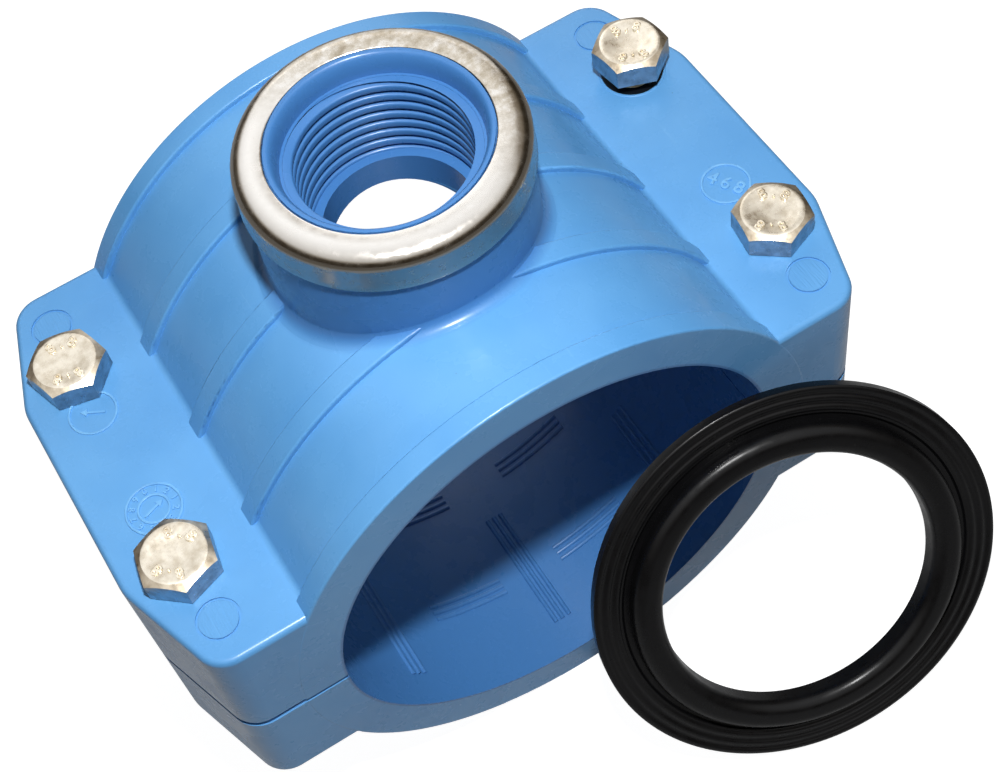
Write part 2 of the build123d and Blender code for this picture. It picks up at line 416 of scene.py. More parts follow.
class Finish(Nodes):
    """A material's nodes, which read places on the object."""

    def __init__(self, name: str) -> None:
        """Makes a material with one Principled shader.

        Args:
            name: the material's name.
        """
        self.material = bpy.data.materials.new(name)
        self.material.use_nodes = True
        super().__init__(self.material.node_tree)
        self.shader = self.tree.nodes["Principled BSDF"]
        self.place = self.add("TexCoord").outputs["Object"]

    def noise(self, size: float, detail: float = 2.0, rough: float = 0.5,
              stretch: Point | None = None) -> Socket:
        """Noise by place.

        Args:
            size: rough width of its grains, in millimetres.
            detail: octaves.
            rough: how strong the fine octaves are.
            stretch: factors along X, Y and Z.

        Returns:
            The noise's value socket.
        """
        vector = self.place
        if stretch:
            vector = self.add("Mapping", Vector=self.place, Scale=stretch).outputs[0]
        node = self.add("TexNoise", Vector=vector, Scale=1 / (size * MM), Detail=detail,
                        Roughness=rough)
        return node.outputs["Fac"]

    def specks(self, size: float) -> Socket:
        """The distance to the nearest of points that lie some millimetres apart."""
        return self.add("TexVoronoi", Vector=self.place, Scale=1 / (size * MM)).outputs["Distance"]

    def uneven(self, size: float, out: Band) -> Socket:
        """A value that wanders between two ends over grains of some millimetres."""
        return self.span(self.noise(size, 4.0, 0.6), (0.3, 0.7), out)

    def ramp(self, value: Socket, *stops: tuple[float, Colour]) -> Socket:
        """Turns a value into a colour.

        Args:
            value: the socket that is read.
            stops: places from 0 to 1 with their colours.

        Returns:
            The colour socket.
        """
        node = self.add("ValToRGB", Fac=value)
        band = node.color_ramp
        while len(band.elements) < len(stops):
            band.elements.new(0.5)
        for element, (place, colour) in zip(band.elements, stops):
            element.position = place
            element.color = (*colour, 1)
        return node.outputs["Color"]

    def bump(self, height: Socket, depth: float, share: float,
             under: Socket | None = None) -> Socket:
        """Turns heights into a normal.

        Args:
            height: socket from 0 to 1.
            depth: height of 1, in millimetres.
            share: how much of it is used.
            under: a normal that it is added to.

        Returns:
            The normal's socket.
        """
        node = self.add("Bump", Height=height, Distance=depth * MM, Strength=share)
        if under:
            self.set(node, "Normal", under)
        return node.outputs[0]

    def layers(self, reliefs: tuple[Relief, ...]) -> Socket:
        """Lays reliefs over one another.

        Args:
            reliefs: from the lowest to the finest.

        Returns:
            The normal's socket.
        """
        normal = None
        for relief in reliefs:
            height = self.noise(relief.size, relief.octaves, relief.fine)
            normal = self.bump(height, relief.depth, relief.share, normal)
        return normal

    def done(self, colour: Socket, roughness: Socket, normal: Socket,
             **constants: float) -> Material:
        """Joins a look to the shader.

        Args:
            colour: the base colour's socket.
            roughness: the roughness's socket.
            normal: the normal's socket.
            constants: numbers for the shader's other sockets, with spaces as underscores.

        Returns:
            The finished material.
        """
        look = {"Base Color": colour, "Roughness": roughness, "Normal": normal, **constants}
        for key, value in look.items():
            self.set(self.shader, key.replace("_", " "), value)
        return self.material


@dataclass(frozen=True)
class SaddlePlastic:
    """Sky-blue moulded polypropylene: hazed outside, with painted shade that deepens it in the
    bore and round the boss.
    """

    light: Colour = (0.128, 0.372, 0.710)
    deep: Colour = (0.092, 0.310, 0.640)
    rubbed: Colour = (0.26, 0.56, 0.86)
    dirt: Colour = (0.03, 0.07, 0.14)
    # painted shade colour for the bore, the boss's wall and the branch
    painted_shade: Colour = (0.052, 0.185, 0.455)
    bore: float = 45.4
    bore_blend: float = 0.3
    boss: float = 24.6
    boss_blend: float = 2.4
    cloud_size: float = 26.0
    scratch_size: float = 0.55
    scratch_stretch: Point = (1.0, 0.03, 1.0)
    scratch_band: Band = (0.70, 0.78)
    scratch_depth: float = 0.004
    rubbed_size: float = 9.0
    rubbed_band: Band = (0.52, 0.66)
    rubbed_most: float = 0.14
    speck_size: float = 5.5
    speck_band: Band = (0.018, 0.030)
    dirt_size: float = 14.0
    dirt_band: Band = (0.58, 0.63)
    dirt_most: float = 0.7
    gloss_size: float = 7.0
    roughness: Band = (0.21, 0.35)
    reliefs: tuple[Relief, ...] = (Relief(11.0, 0.10, 0.5, fine=0.4), Relief(0.35, 0.012, 0.6))
    pad_centre: Point = (59.8, 35.6, 25.4)
    pad_radius: float = 3.45
    hatch_turn: float = 28.0
    hatch_grain: Band = (0.4, 5.0)
    hatch_depth: float = 0.12
    line_size: float = 0.42
    line_stretch: Point = (1.0, 0.10, 1.0)
    line_share: float = 0.2

    def make(self) -> Material:
        """Builds the material.

        Returns:
            The material.
        """
        tree = Finish("saddle_plastic")
        cloud = tree.noise(self.cloud_size, 3.0, 0.55)
        colour = tree.ramp(cloud, (0.30, self.deep), (0.70, self.light))
        scratch = tree.noise(self.scratch_size, 1.0, 0.4, self.scratch_stretch)
        scratch = tree.span(scratch, self.scratch_band)
        area = tree.span(tree.noise(self.rubbed_size, 1.0), self.rubbed_band,
                         (0.0, self.rubbed_most))
        mark = tree.maths("MULTIPLY", scratch, area)
        colour = tree.mix(mark, colour, self.rubbed)
        speck = tree.span(tree.specks(self.speck_size), self.speck_band, (1.0, 0.0))
        area = tree.span(tree.noise(self.dirt_size, 1.0), self.dirt_band, (0.0, self.dirt_most))
        colour = tree.mix(tree.maths("MULTIPLY", speck, area), colour, self.dirt)
        # painted shade: deeper blue inside the bore, round the boss and down the branch
        colour = tree.mix(self.painted_shade_mask(tree), colour, self.painted_shade)
        normal = tree.bump(mark, self.scratch_depth, 0.5, tree.layers(self.reliefs))
        normal = tree.bump(self.pad_hatching(tree), self.hatch_depth, 1.0, normal)
        return tree.done(colour, tree.uneven(self.gloss_size, self.roughness), normal, IOR=1.49,
                           Specular_IOR_Level=0.36, Coat_Weight=0.35, Coat_Roughness=0.50)

    def painted_shade_mask(self, tree: Finish) -> Socket:
        """Where shade is painted: inside the bore, on the boss's wall and down the branch.

        Args:
            tree: the material being built.

        Returns:
            The mask's socket.
        """
        x, y, z = tree.add("SeparateXYZ", Vector=tree.place).outputs
        wall = (self.bore * MM, (self.bore + self.bore_blend) * MM)
        inside = tree.span(tree.reach(x, z), wall, (1.0, 0.0))
        wall = (self.boss * MM, (self.boss + self.boss_blend) * MM)
        near = tree.span(tree.reach(x, y), wall, (1.0, 0.0))
        above = tree.maths("GREATER_THAN", z, (self.bore - 1) * MM)
        return tree.maths("MAXIMUM", inside, tree.maths("MULTIPLY", near, above))

    def pad_hatching(self, tree: Finish) -> Socket:
        """The fine hatching inside the ejector circles.

        Args:
            tree: the material being built.

        Returns:
            The hatching's height socket.
        """
        folded = tree.add("VectorMath", {"operation": "ABSOLUTE"})
        tree.set(folded, 0, tree.place)
        distance = tree.add("VectorMath", {"operation": "DISTANCE"})
        tree.set(distance, 0, folded.outputs[0])
        tree.set(distance, 1, tuple(value * MM for value in self.pad_centre))
        inside = tree.maths("LESS_THAN", distance.outputs["Value"], self.pad_radius * MM)
        lines = tree.noise(self.line_size, 2.0, 0.6, self.line_stretch)
        across, along = (1 / (grain * MM) for grain in self.hatch_grain)
        slanted = tree.add("Mapping", Vector=tree.place, Scale=(across, along, along),
                           Rotation=(0, 0, math.radians(self.hatch_turn)))
        hatch = tree.add("TexNoise", Vector=slanted.outputs[0], Scale=1.0, Detail=1.0)
        both = tree.maths("ADD", hatch.outputs["Fac"],
                          tree.maths("MULTIPLY", lines, self.line_share))
        return tree.maths("MULTIPLY", both, inside)


@dataclass(frozen=True)
class MarkPlastic:
    """The same plastic where marks stand proud: painted a little paler as a painted highlight, and
    smoother.
    """

    colour: Colour = (0.19, 0.47, 0.80)
    shade: Colour = (0.14, 0.39, 0.73)
    colour_size: float = 3.0
    gloss_size: float = 2.0
    roughness: Band = (0.30, 0.40)
    reliefs: tuple[Relief, ...] = (Relief(0.4, 0.01, 0.5),)

    def make(self) -> Material:
        """Builds the material.

        Returns:
            The material.
        """
        tree = Finish("mark_plastic_painted_highlight")
        # painted highlight: the marks' colour is paler than the plastic's
        colour = tree.ramp(tree.noise(self.colour_size), (0.3, self.shade), (0.7, self.colour))
        gloss = tree.span(tree.noise(self.gloss_size), (0.3, 0.7), self.roughness)
        return tree.done(colour, gloss, tree.layers(self.reliefs), IOR=1.49)


@dataclass(frozen=True)
class RingSteel:
    """Pressed stainless steel: bright on one side, darker and mottled brown on the other as a
    painted reflection, and darker and browner towards its edge.
    """

    name: str = "ring_steel"
    bright: Colour = (0.88, 0.86, 0.83)
    dull: Colour = (0.50, 0.43, 0.32)
    brown: Colour = (0.32, 0.26, 0.17)
    roughness: float = 0.18
    edge: Colour = (0.15, 0.115, 0.07)
    edge_band: Band = (21.2, 24.7)
    edge_most: float = 0.9
    edge_curve: float = 1.4
    painted_reflection_side: Band = (0.8, 0.6)
    side_band: Band = (-4.0, 14.0)
    blotch_size: float = 2.6
    gloss_size: float = 1.6
    reliefs: tuple[Relief, ...] = (Relief(3.4, 0.02, 0.4), Relief(0.4, 0.004, 0.4, fine=0.6))

    def make(self) -> Material:
        """Builds the material.

        Returns:
            The material.
        """
        tree = Finish(self.name)
        x, y, _ = tree.add("SeparateXYZ", Vector=tree.place).outputs
        # painted reflection: the ring's +X+Y side turns towards the darker, mottled brown patch
        way = [tree.maths("MULTIPLY", part, share) for part, share in zip((x, y), self.painted_reflection_side)]
        low, high = self.side_band
        side = tree.span(tree.maths("ADD", *way), (low * MM, high * MM))
        blotch = tree.noise(self.blotch_size, 5.0, 0.66)
        patch = tree.ramp(blotch, (0.30, self.brown), (0.50, self.dull), (0.72, self.bright))
        mottled_painted_reflection = tree.maths("MULTIPLY", side, tree.span(blotch, (0.35, 0.65), (0.85, 0.45)))
        colour = tree.mix(mottled_painted_reflection, self.bright, patch)
        low, high = self.edge_band
        # darker and browner towards the rolled edge
        towards_edge = tree.span(tree.reach(x, y), (low * MM, high * MM), (0.0, self.edge_most))
        colour = tree.mix(tree.maths("POWER", towards_edge, self.edge_curve), colour, self.edge)
        gloss = tree.uneven(self.gloss_size, (self.roughness - 0.06, self.roughness + 0.12))
        return tree.done(colour, gloss, tree.layers(self.reliefs), Metallic=1.0)


@dataclass(frozen=True)
class BoltSteel:
    """Cold-headed steel with a warm, slightly uneven plating."""

    name: str
    bright: Colour
    shade: Colour
    roughness: float
    blotch_size: float = 2.2
    gloss_size: float = 0.9
    reliefs: tuple[Relief, ...] = (Relief(1.1, 0.03, 0.7, 3.0, 0.55),
                                   Relief(0.22, 0.006, 0.6, 3.0, 0.6))

    def make(self) -> Material:
        """Builds the material.

        Returns:
            The material.
        """
        tree = Finish(self.name)
        blotch = tree.noise(self.blotch_size, 5.0, 0.6)
        colour = tree.ramp(blotch, (0.34, self.shade), (0.62, self.bright))
        gloss = tree.uneven(self.gloss_size, (self.roughness - 0.06, self.roughness + 0.14))
        return tree.done(colour, gloss, tree.layers(self.reliefs), Metallic=1.0)


@dataclass(frozen=True)
class GasketRubber:
    """Black moulded rubber with a soft shine and a little dust."""

    name: str = "gasket_rubber"
    black: Colour = (0.0035, 0.0035, 0.004)
    dust: Colour = (0.03, 0.03, 0.03)
    roughness: float = 0.22
    rough_end: float = 0.38
    speck_size: float = 2.4
    speck_band: Band = (0.03, 0.06)
    gloss_size: float = 3.0
    reliefs: tuple[Relief, ...] = (Relief(4.0, 0.04, 0.5), Relief(0.25, 0.01, 0.5))

    def make(self) -> Material:
        """Builds the material.

        Returns:
            The material.
        """
        tree = Finish(self.name)
        spot = tree.span(tree.specks(self.speck_size), self.speck_band, (0.5, 0.0))
        colour = tree.mix(spot, self.black, self.dust)
        gloss = tree.uneven(self.gloss_size, (self.roughness, self.rough_end))
        return tree.done(colour, gloss, tree.layers(self.reliefs), Specular_IOR_Level=0.20)


@dataclass(frozen=True)
class FloorPaper:
    """White studio paper that keeps the object's shadow."""

    white: Colour = (0.30, 0.30, 0.30)
    roughness: float = 0.9
    glow: float = 0.97
    mirrored: float = 0.24

    def make(self) -> Material:
        """Builds the material.

        Returns:
            The material.
        """
        tree = Finish("floor_paper")
        tree.set(tree.shader, "Base Color", (*self.white, 1))
        tree.set(tree.shader, "Roughness", self.roughness)
        path = tree.add("LightPath").outputs
        mirrored = tree.maths("MULTIPLY", path["Is Glossy Ray"], self.mirrored)
        seen = tree.maths("MAXIMUM", path["Is Camera Ray"], mirrored)
        seen = tree.maths("MAXIMUM", seen, path["Is Transmission Ray"])
        glow = tree.add("Emission", Strength=tree.maths("MULTIPLY", seen, self.glow))
        both = tree.add("AddShader")
        tree.set(both, 0, tree.shader.outputs[0])
        tree.set(both, 1, glow.outputs[0])
        output = tree.tree.nodes["Material Output"]
        tree.set(output, "Surface", both.outputs[0])
        return tree.material


@dataclass
class Digits:
    """Raised plain digits, made solid so that they can be laid on a face."""

    height: float
    relief: float
    soft: float = 0.0

    def mould(self, text: str) -> MeshBuilder:
        """Makes one run of digits centred on the origin.

        Args:
            text: the digits.

        Returns:
            A builder that holds them, rising from the XY plane.
        """
        curve = bpy.data.curves.new("digits", "FONT")
        curve.body = text
        curve.size = self.height * MM
        curve.align_x = "CENTER"
        curve.align_y = "CENTER"
        curve.extrude = self.relief * MM / 2 - self.soft * MM
        curve.bevel_depth = self.soft * MM
        curve.bevel_resolution = 1 if self.soft else 0
        curve.resolution_u = 3
        holder = bpy.data.objects.new("digits", curve)
        bpy.context.collection.objects.link(holder)
        depsgraph = bpy.context.evaluated_depsgraph_get()
        mesh = bpy.data.meshes.new_from_object(holder.evaluated_get(depsgraph))
        made = MeshBuilder()
        made.bm.from_mesh(mesh)
        made.clean()
        bpy.data.objects.remove(holder)
        bpy.data.meshes.remove(mesh)
        return made

    def on_arc(self, target: MeshBuilder, text: str, radius: float, middle: float,
               spread: float, level: float) -> None:
        """Lays single digits along an arc, their feet towards its centre.

        Args:
            target: the builder that takes them.
            text: the digits.
            radius: the arc's radius, in millimetres.
            middle: direction of the arc's middle, in degrees.
            spread: degrees from one digit to the next.
            level: height of the face, in millimetres.
        """
        for index, glyph in enumerate(text):
            turn = middle - (index - (len(text) - 1) / 2) * spread
            target.take(self.mould(glyph), turned(turn - 90) @ moved(0, radius, level))


@dataclass
class BranchThread:
    """The parallel pipe thread inside the branch."""

    crest: float = 15.145
    root: float = 16.56
    backing: float = 16.62
    pitch: float = 2.309
    flank: float = 0.38
    crest_flat: float = 1.30
    crest_round: float = 0.32
    top: float = 68.36
    bottom: float = 51.04
    start_turn: float = 128.0
    steps: int = 96

    def build(self, finish: Material, shade: Material) -> Piece:
        """Sweeps one turn's profile up a helix, trims it and gives it a back.

        Args:
            finish: the plastic.
            shade: the painted shade at the bottom of the groove.

        Returns:
            The thread.
        """
        made = MeshBuilder()
        half = self.crest_flat / 2
        heights = (0.0, half, half + self.flank, self.pitch - half - self.flank,
                   self.pitch - half, self.pitch)
        radii = (self.crest, self.crest, self.root, self.root, self.crest, self.crest)
        low = self.bottom - 2 * self.pitch
        verts = made.wire([(r, 0, low + z) for r, z in zip(radii, heights)], closed=False)
        made.round_corners([verts[1], verts[4]], self.crest_round, 4)
        turns = math.ceil((self.top - low) / self.pitch) + 1
        made.screw(self.pitch, turns, self.steps)
        made.move(turned(self.start_turn))
        made.cut((0, 0, self.top), (0, 0, 1))
        made.cut((0, 0, self.bottom), (0, 0, -1))
        loops = [self.flange_out(made, level) for level in (self.top, self.bottom)]
        bmesh.ops.bridge_loops(made.bm, edges=loops[0] + loops[1])
        made.clean()
        groove = (self.crest + self.root) / 2
        # painted shade: the groove's flanks and root take the near-black finish
        made.paint(1, lambda face: from_axis(face) > groove and abs(face.normal.z) < 0.95)
        return made.piece("branch_thread", Body.UPPER.value, Slot.PLASTIC, finish, shade,
                          crease=0.5)

    def flange_out(self, made: MeshBuilder, level: float) -> list[Edge]:
        """Runs a cut edge out to the backing's radius.

        Args:
            made: the builder.
            level: height of the cut.

        Returns:
            The outer edges.
        """
        edges = [e for e in made.bm.edges if e.is_boundary
                 and all(abs(v.co.z - level * MM) < 1e-6 for v in e.verts)]
        grown = bmesh.ops.extrude_edge_only(made.bm, edges=edges)["geom"]
        for vert in verts_of(grown):
            flat = Vector((vert.co.x, vert.co.y, 0))
            vert.co = flat.normalized() * self.backing * MM + Vector((0, 0, vert.co.z))
        return [e for e in grown if isinstance(e, Edge)]


@dataclass
class BranchMouth:
    """The smooth funnel from the branch's lip down to the shelf above the thread."""

    lip: float = 18.6
    throat: float = 17.15
    top: float = 72.6
    shelf: float = 68.4
    backing: float = 18.95
    set_back: float = 0.4
    bury: float = 0.3
    bends: int = 14
    steps: int = 160

    def build(self, finish: Material) -> Piece:
        """Turns a quarter ellipse into the funnel's skin, closed behind.

        Args:
            finish: the plastic.

        Returns:
            The funnel.
        """
        made = MeshBuilder()
        reach, drop = self.lip - self.throat, self.top - self.shelf
        points = [(self.lip - reach * math.cos(a), 0, self.shelf + drop * math.sin(a))
                  for a in quarter(self.bends)]
        low = self.shelf - self.bury
        points += [(self.backing, 0, self.top - self.set_back), (self.backing, 0, low),
                   (self.throat, 0, low)]
        made.wire(points)
        made.lathe(self.steps)
        return made.piece("branch_mouth", Body.UPPER.value, Slot.PLASTIC, finish, crease=0.7)


@dataclass
class BossFoot:
    """The soft fillet where the boss grows out of the round shell."""

    boss: float = 24.25
    shell: float = 52.7
    fillet: float = 2.2
    bury: float = 0.5
    tip_back: float = 0.03
    tip_rise: float = 0.3
    bends: int = 8
    steps: int = 192

    def build(self, finish: Material) -> Piece:
        """Turns the fillet's section and lays the result on the shell.

        Args:
            finish: the plastic.

        Returns:
            The fillet.
        """
        made = MeshBuilder()
        points = [(self.boss + self.fillet * (1 - math.cos(a)), 0, self.fillet * (1 - math.sin(a)))
                  for a in quarter(self.bends)]
        foot, wall = self.boss + self.fillet, self.boss - self.bury
        points += [(foot + self.bury, 0, -self.bury / 4), (foot, 0, -self.bury),
                   (wall, 0, -self.bury), (wall, 0, self.fillet),
                   (self.boss - self.tip_back, 0, self.fillet + self.tip_rise)]
        made.wire(points)
        made.lathe(self.steps)
        for vert in made.bm.verts:
            vert.co.z += math.sqrt((self.shell * MM) ** 2 - vert.co.x ** 2)
        return made.piece("boss_foot", Body.UPPER.value, Slot.PLASTIC, finish, crease=0.7)


@dataclass
class PressedRing:
    """The steel reinforcing ring: flat top, rolled edge, short skirt."""

    outer: float
    inner: float
    top: float
    height: float
    sheet: float = 0.8
    roll: float = 2.8
    lip: float = 0.36
    flare: float = 0.18
    flare_height: float = 1.4
    skirt_start: float = 0.75
    steps: int = 192

    def build(self, finish: Material, skirt: Material) -> Piece:
        """Turns the ring's section on a lathe.

        Args:
            finish: the steel of the top.
            skirt: a darker copy of the steel for the skirt, a painted dark reflection.

        Returns:
            The ring, in place of its plain solid.
        """
        made = MeshBuilder()
        low = self.top - self.height
        under = self.top - self.sheet
        inside = self.outer - self.sheet
        waist = low + self.flare_height
        verts = made.wire([
            (self.inner, 0, self.top), (self.outer, 0, self.top), (self.outer, 0, waist),
            (self.outer + self.flare, 0, low), (inside + self.flare, 0, low),
            (inside, 0, waist), (inside, 0, under), (self.inner, 0, under)])
        made.round_corners([verts[1]], self.roll, 12)
        bend = Vector((inside, 0, under)) * MM
        nearest = min(made.bm.verts, key=lambda v: (v.co - bend).length)
        made.round_corners([nearest], self.roll - self.sheet, 8)
        lips = [v for v in made.bm.verts if abs(v.co.x - self.inner * MM) < 1e-6
                or abs(v.co.z - low * MM) < 1e-6]
        made.round_corners(lips, self.lip, 3)
        made.lathe(self.steps)
        # the skirt takes the darker copy of the steel: painted dark reflection
        skirt_top = (self.top - self.roll * self.skirt_start) * MM
        made.paint(1, lambda face: face.calc_center_median().z < skirt_top)
        ring = made.piece("pressed_ring", Body.UPPER.value, Slot.RING, finish, skirt, crease=0.9)
        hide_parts("reinforcing_ring")
        return ring


@dataclass
class GasketRing:
    """The rubber ring: round bead inside, thin flange with three fine ridges outside."""

    outer: float = 40.0
    inner: float = 27.0
    sheet: float = 2.2
    bead_width: float = 6.0
    bead_height: float = 5.0
    bead_round: float = 2.3
    ridges: int = 3
    ridge_rise: float = 0.24
    ridge_start: float = 0.28
    ridge_steps: tuple[float, ...] = (0.0, 0.35, 0.95, 1.3)
    valley_depth: float = 0.6
    valley_width: float = 1.5
    valley_slope: float = 0.3
    soft_edge: float = 0.22
    tilt: float = 28.9
    turn: float = 10.6
    steps: int = 224

    def section(self) -> MeshBuilder:
        """Lays out the ring's section.

        Returns:
            Its builder.
        """
        made = MeshBuilder()
        bead_end = self.inner + self.bead_width
        valley = self.sheet - self.valley_depth
        valley_end = bead_end + self.valley_width
        points = [(self.inner, 0, 0), (self.inner, 0, self.bead_height),
                  (bead_end, 0, self.bead_height), (bead_end, 0, valley),
                  (valley_end - self.valley_slope, 0, valley), (valley_end, 0, self.sheet)]
        room = self.outer - valley_end
        for index in range(self.ridges):
            foot = valley_end + (index + self.ridge_start) * room / self.ridges
            points += [(foot + across, 0, self.sheet + up * self.ridge_rise)
                       for across, up in zip(self.ridge_steps, (0, 1, 1, 0))]
        points += [(self.outer, 0, self.sheet), (self.outer, 0, 0)]
        verts = made.wire(points)
        made.round_corners(verts[1:3], self.bead_round, 10)
        soft = [v for v in made.bm.verts if v.co.x > (bead_end + 1.0) * MM]
        made.round_corners(soft, self.soft_edge, 3)
        return made

    def place(self) -> Matrix:
        """Where the ring stands: on its edge, leaning back, as its solid does.

        Returns:
            The matrix from the flat ring to its place.
        """
        tilt, turn = math.radians(self.tilt), math.radians(self.turn)
        level = math.cos(tilt)
        facing = Vector((-math.sin(turn) * level, -math.cos(turn) * level, math.sin(tilt)))
        low, high = (Vector(corner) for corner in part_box("gasket"))
        radius = self.outer * MM
        centre = Vector((
            high.x - radius * math.sqrt(1 - facing.x ** 2),
            high.y - radius * math.sqrt(1 - facing.y ** 2),
            low.z + radius * math.sqrt(1 - facing.z ** 2)))
        return Matrix.Translation(centre) @ facing.to_track_quat("Z", "Y").to_matrix().to_4x4()

    def build(self, finish: Material) -> Piece:
        """Turns the section and stands the ring in its place.

        Args:
            finish: the rubber.

        Returns:
            The ring, in place of its plain solid.
        """
        made = self.section()
        made.lathe(self.steps)
        made.move(self.place())
        ring = made.piece("gasket_ring", Body.LOWER.value, Slot.RUBBER, finish, crease=0.9)
        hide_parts("gasket")
        return ring


@dataclass
class GripRidges:
    """Patches of three fine ridges on the lower half's bore, which hold the pipe."""

    bore: float = 45.1
    rise: float = 0.45
    width: float = 1.0
    shoulder_width: float = 0.6
    shoulder_rise: float = 0.75
    bury: float = 0.1
    spacing: float = 1.55
    near: float = 9.0
    far: float = 37.0
    tilt: float = 45.0
    hoop_start: float = 8.5
    hoop_end: float = 30.0
    hoop_row: float = 24.0
    hoop_steps: int = 16
    lines: int = 3

    def section(self) -> list[Point]:
        """Lays out a ridge's section at the bottom of the bore, across X.

        Returns:
            The corners of a closed loop.
        """
        half, shoulder = self.width / 2, self.width / 2 * self.shoulder_width
        floor, high = -self.bore, -self.bore + self.rise * self.shoulder_rise
        return [(-half, 0, floor - self.bury), (-half, 0, floor), (-shoulder, 0, high),
                (0, 0, floor + self.rise), (shoulder, 0, high), (half, 0, floor),
                (half, 0, floor - self.bury)]

    def bar(self) -> MeshBuilder:
        """Draws one straight ridge along the pipe, from near to far.

        Returns:
            Its builder.
        """
        made = MeshBuilder()
        made.wire(self.section())
        made.move(moved(y=self.near))
        grown = bmesh.ops.extrude_edge_only(made.bm, edges=made.bm.edges[:])["geom"]
        made.move(moved(y=self.far - self.near), verts_of(grown))
        made.close()
        made.clean()
        return made

    def hoop(self) -> MeshBuilder:
        """Bends one ridge round the pipe, from the hoop's start to its end.

        Returns:
            Its builder.
        """
        made = MeshBuilder()
        made.wire([(0, x, z) for x, _, z in self.section()])
        made.move(turned(-self.hoop_start, "Y"))
        made.spin(math.radians(self.hoop_start - self.hoop_end), self.hoop_steps, (0, 1, 0))
        made.close()
        made.clean()
        return made

    def build(self, finish: Material) -> Piece:
        """Lays every patch and returns the piece.

        Args:
            finish: the plastic.

        Returns:
            The ridges.
        """
        made = MeshBuilder()
        step = math.degrees(self.spacing / self.bore)
        for line in range(self.lines):
            shift = line - (self.lines - 1) / 2
            for angle in (-self.tilt, 0.0, self.tilt):
                for end in (0.0, 180.0):
                    made.take(self.bar(), turned(angle + shift * step, "Y") @ turned(end))
            for row in (-self.hoop_row, 0.0, self.hoop_row):
                for end in (0.0, 180.0):
                    along = moved(y=row + shift * self.spacing)
                    made.take(self.hoop(), along @ turned(end))
        return made.piece("grip_ridges", Body.LOWER.value, Slot.PLASTIC, finish, crease=0.9)


@dataclass
class BoltWellPaintedShade:
    """The wider mouth of a bolt's hole: a flat ring of painted shade with a fine rim, hidden by a
    seated head.
    """

    inner: float = 4.2
    outer: float = 6.05
    rise: float = 0.04
    rim: float = 0.16
    rim_top: float = 0.4
    rim_foot: float = 0.6
    rim_round: float = 0.06
    bury: float = 0.1
    steps: int = 72

    def build(self, corner: Corner, level: float, dark: Material,
              rim: Material) -> Piece:
        """Lays one mouth round its hole.

        Args:
            corner: the bolt's place.
            level: height of the flange's face, in millimetres.
            dark: the painted shade of the mouth.
            rim: finish of its rim.

        Returns:
            The mouth.
        """
        low, high = (Vector(point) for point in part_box(f"bolt_{corner.label}"))
        made = MeshBuilder()
        verts = made.wire([(self.inner, 0, -self.bury), (self.inner, 0, self.rise),
                           (self.outer, 0, self.rise), (self.outer, 0, self.rim),
                           (self.outer + self.rim_top, 0, self.rim),
                           (self.outer + self.rim_foot, 0, -self.bury)])
        made.round_corners(verts[3:5], self.rim_round, 2)
        made.lathe(self.steps)
        # the flat ring keeps the painted shade; its rim takes the plastic
        made.paint(1, lambda face: from_axis(face) > self.outer - 0.01)
        made.move(Matrix.Translation(((low.x + high.x) / 2, (low.y + high.y) / 2, level * MM)))
        return made.piece(f"bolt_well_painted_shade_{corner.label}", Body.UPPER.value, Slot.PLASTIC, dark, rim)


